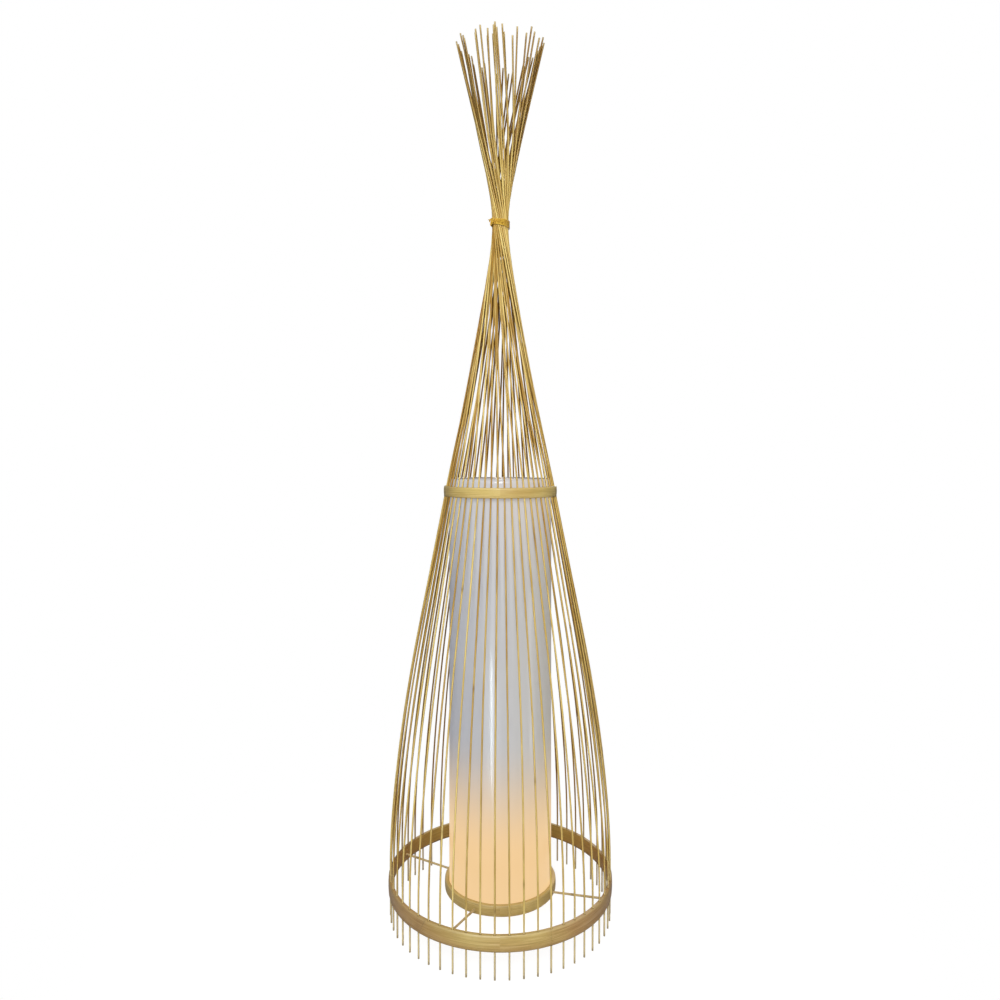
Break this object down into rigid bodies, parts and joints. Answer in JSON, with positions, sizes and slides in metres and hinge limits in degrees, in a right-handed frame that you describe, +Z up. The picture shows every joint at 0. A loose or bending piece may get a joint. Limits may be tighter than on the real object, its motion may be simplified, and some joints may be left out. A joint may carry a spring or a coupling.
{
  "type": "bamboo floor lamp",
  "caption": "Tall bell-shaped bamboo splint lamp: splints run from floor to a tied neck and fan out on top, round a lit white tube shade.",
  "frame": {"origin": "on the floor, at the middle of the ring of splint ends, on the lamp's axis", "axes": "+Z up along the lamp; the front faces -Y, with the binding's knot on the -X side"},
  "size_m": [0.3106, 0.3106, 1.2195],
  "materials": {
    "bamboo_splint": "pale natural bamboo, satin",
    "bamboo_hoop": "natural bamboo strip, satin, olive gold",
    "binding": "twisted plant-fibre string",
    "shade_film": "translucent white lamp film",
    "rim_wire": "white coated steel wire",
    "steel": "zinc-plated steel",
    "brass": "brass strip and turned brass",
    "black_plastic": "black thermoplastic",
    "white_plastic": "white thermoplastic",
    "ceramic": "unglazed lamp-holder ceramic",
    "insulation": "wire insulation",
    "cap_metal": "nickel-plated bulb cap",
    "globe": "frosted opal diffuser",
    "board": "aluminium circuit board",
    "chips": "phosphor-coated light chips",
    "driver": "driver circuit board"
  },
  "bodies": {
    "lamp": {"splints_01": "bamboo_splint", "splints_02": "bamboo_splint", "splints_03": "bamboo_splint", "splints_04": "bamboo_splint", "splints_05": "bamboo_splint", "splints_06": "bamboo_splint", "splints_07": "bamboo_splint", "splints_08": "bamboo_splint", "splints_09": "bamboo_splint", "splints_10": "bamboo_splint", "splints_11": "bamboo_splint", "splints_12": "bamboo_splint", "splints_13": "bamboo_splint", "splints_14": "bamboo_splint", "splints_15": "bamboo_splint", "splints_16": "bamboo_splint", "splints_17": "bamboo_splint", "splints_18": "bamboo_splint", "base_hoop": "bamboo_hoop", "waist_hoop": "bamboo_hoop", "shade_ring": "bamboo_hoop", "spoke_front": "bamboo_hoop", "spoke_right": "bamboo_hoop", "spoke_back": "bamboo_hoop", "spoke_left": "bamboo_hoop", "shade_tube": "shade_film", "shade_top_ring": "rim_wire", "binding_cord": "binding", "binding_knot": "binding", "socket_bracket": "steel", "bracket_screws": "steel", "nipple": "steel", "nipple_washers": "steel", "nipple_nut": "steel", "cord_gland": "black_plastic", "holder_cap": "white_plastic", "holder_body": "white_plastic", "holder_insert": "ceramic", "terminal_screws": "brass", "centre_contact": "brass", "side_contact": "brass", "screw_shell": "brass", "lead_wires": "insulation"},
    "bulb_tip": {"bulb_contact": "brass"},
    "bulb": {"bulb_insulator": "ceramic", "bulb_screw_cap": "cap_metal", "bulb_housing": "white_plastic", "led_board": "board", "led_chips": "chips", "bulb_driver": "driver", "bulb_globe": "globe"}
  },
  "joints": [
    {"name": "bulb_rise", "type": "slide", "parent": "lamp", "child": "bulb_tip", "axis": [0, 0, 1], "range_m": [0, 0.01448]},
    {"name": "bulb_turn", "type": "hinge", "parent": "bulb_tip", "child": "bulb", "pos_m": [0, 0, 0.08], "axis": [0, 0, 1], "range_deg": [0, 1441]}
  ],
  "couplings": [
    {"joint": "bulb_turn", "follows": "bulb_rise", "rad_per_m": 1735.7}
  ]
}
